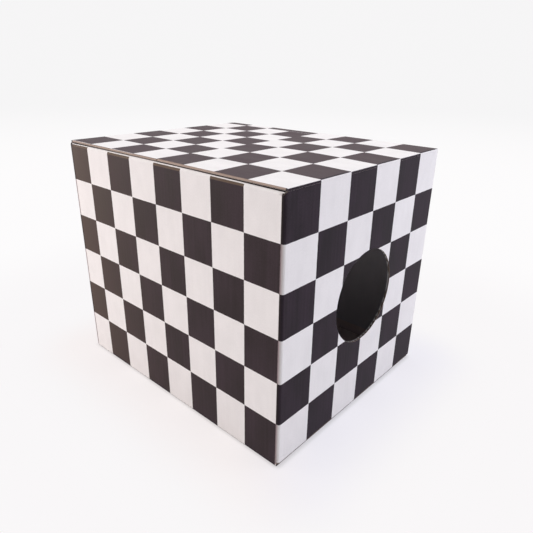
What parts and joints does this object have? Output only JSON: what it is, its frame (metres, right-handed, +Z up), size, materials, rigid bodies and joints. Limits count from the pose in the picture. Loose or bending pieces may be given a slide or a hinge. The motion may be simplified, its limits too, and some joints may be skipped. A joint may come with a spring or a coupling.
{
  "type": "cat condo",
  "caption": "Corrugated cardboard hiding box for a cat, with a round entrance, folding top and bottom flaps and a checkerboard print.",
  "frame": {"origin": "middle of the base, at the level of the floor", "axes": "+Z up, the entrance wall faces -Y, +X to the right of someone looking at the entrance"},
  "size_m": [0.336, 0.412, 0.3457],
  "materials": {
    "printed_liner": "matte",
    "kraft_fluting": "matte",
    "grey_liner": "matte",
    "creased_board": "matte",
    "glue_tab_board": "matte"
  },
  "bodies": {
    "sleeve": {"front_wall_outer_liner": "printed_liner", "front_wall_fluting": "kraft_fluting", "front_wall_inner_liner": "grey_liner", "back_wall_outer_liner": "printed_liner", "back_wall_fluting": "kraft_fluting", "back_wall_inner_liner": "grey_liner", "left_wall_outer_liner": "printed_liner", "left_wall_fluting": "kraft_fluting", "left_wall_inner_liner": "grey_liner", "right_wall_outer_liner": "printed_liner", "right_wall_fluting": "kraft_fluting", "right_wall_inner_liner": "grey_liner", "front_left_corner_fold": "creased_board", "front_right_corner_fold": "creased_board", "back_left_corner_fold": "creased_board", "glue_tab_fold": "glue_tab_board", "glue_tab": "glue_tab_board", "front_top_crease": "creased_board", "back_top_crease": "creased_board", "left_top_crease": "creased_board", "right_top_crease": "creased_board", "front_bottom_crease": "creased_board", "back_bottom_crease": "creased_board", "left_bottom_crease": "creased_board", "right_bottom_crease": "creased_board"},
    "top_front_flap": {"top_front_flap_outer_liner": "printed_liner", "top_front_flap_fluting": "kraft_fluting", "top_front_flap_inner_liner": "grey_liner"},
    "top_back_flap": {"top_back_flap_outer_liner": "printed_liner", "top_back_flap_fluting": "kraft_fluting", "top_back_flap_inner_liner": "grey_liner"},
    "top_left_flap": {"top_left_flap_outer_liner": "printed_liner", "top_left_flap_fluting": "kraft_fluting", "top_left_flap_inner_liner": "grey_liner"},
    "top_right_flap": {"top_right_flap_outer_liner": "printed_liner", "top_right_flap_fluting": "kraft_fluting", "top_right_flap_inner_liner": "grey_liner"},
    "bottom_front_flap": {"bottom_front_flap_outer_liner": "printed_liner", "bottom_front_flap_fluting": "kraft_fluting", "bottom_front_flap_inner_liner": "grey_liner"},
    "bottom_back_flap": {"bottom_back_flap_outer_liner": "printed_liner", "bottom_back_flap_fluting": "kraft_fluting", "bottom_back_flap_inner_liner": "grey_liner"},
    "bottom_left_flap": {"bottom_left_flap_outer_liner": "printed_liner", "bottom_left_flap_fluting": "kraft_fluting", "bottom_left_flap_inner_liner": "grey_liner"},
    "bottom_right_flap": {"bottom_right_flap_outer_liner": "printed_liner", "bottom_right_flap_fluting": "kraft_fluting", "bottom_right_flap_inner_liner": "grey_liner"}
  },
  "joints": [
    {"name": "top_front_fold", "type": "hinge", "parent": "sleeve", "child": "top_front_flap", "pos_m": [0, -0.2045, 0.3435], "axis": [1, 0, 0], "range_deg": [0, 180]},
    {"name": "top_back_fold", "type": "hinge", "parent": "sleeve", "child": "top_back_flap", "pos_m": [0, 0.2045, 0.3435], "axis": [-1, 0, 0], "range_deg": [0, 180]},
    {"name": "top_left_fold", "type": "hinge", "parent": "sleeve", "child": "top_left_flap", "pos_m": [-0.165, 0, 0.3376], "axis": [0, 1, 0], "range_deg": [0, 80]},
    {"name": "top_right_fold", "type": "hinge", "parent": "sleeve", "child": "top_right_flap", "pos_m": [0.165, 0, 0.3376], "axis": [0, -1, 0], "range_deg": [0, 80]},
    {"name": "bottom_front_fold", "type": "hinge", "parent": "sleeve", "child": "bottom_front_flap", "pos_m": [0, -0.203, 0.0066], "axis": [1, 0, 0], "range_deg": [0, 80]},
    {"name": "bottom_back_fold", "type": "hinge", "parent": "sleeve", "child": "bottom_back_flap", "pos_m": [0, 0.203, 0.0066], "axis": [-1, 0, 0], "range_deg": [0, 80]},
    {"name": "bottom_left_fold", "type": "hinge", "parent": "sleeve", "child": "bottom_left_flap", "pos_m": [-0.1665, 0, 0.0015], "axis": [0, 1, 0], "range_deg": [0, 180]},
    {"name": "bottom_right_fold", "type": "hinge", "parent": "sleeve", "child": "bottom_right_flap", "pos_m": [0.1665, 0, 0.0015], "axis": [0, -1, 0], "range_deg": [0, 180]}
  ]
}
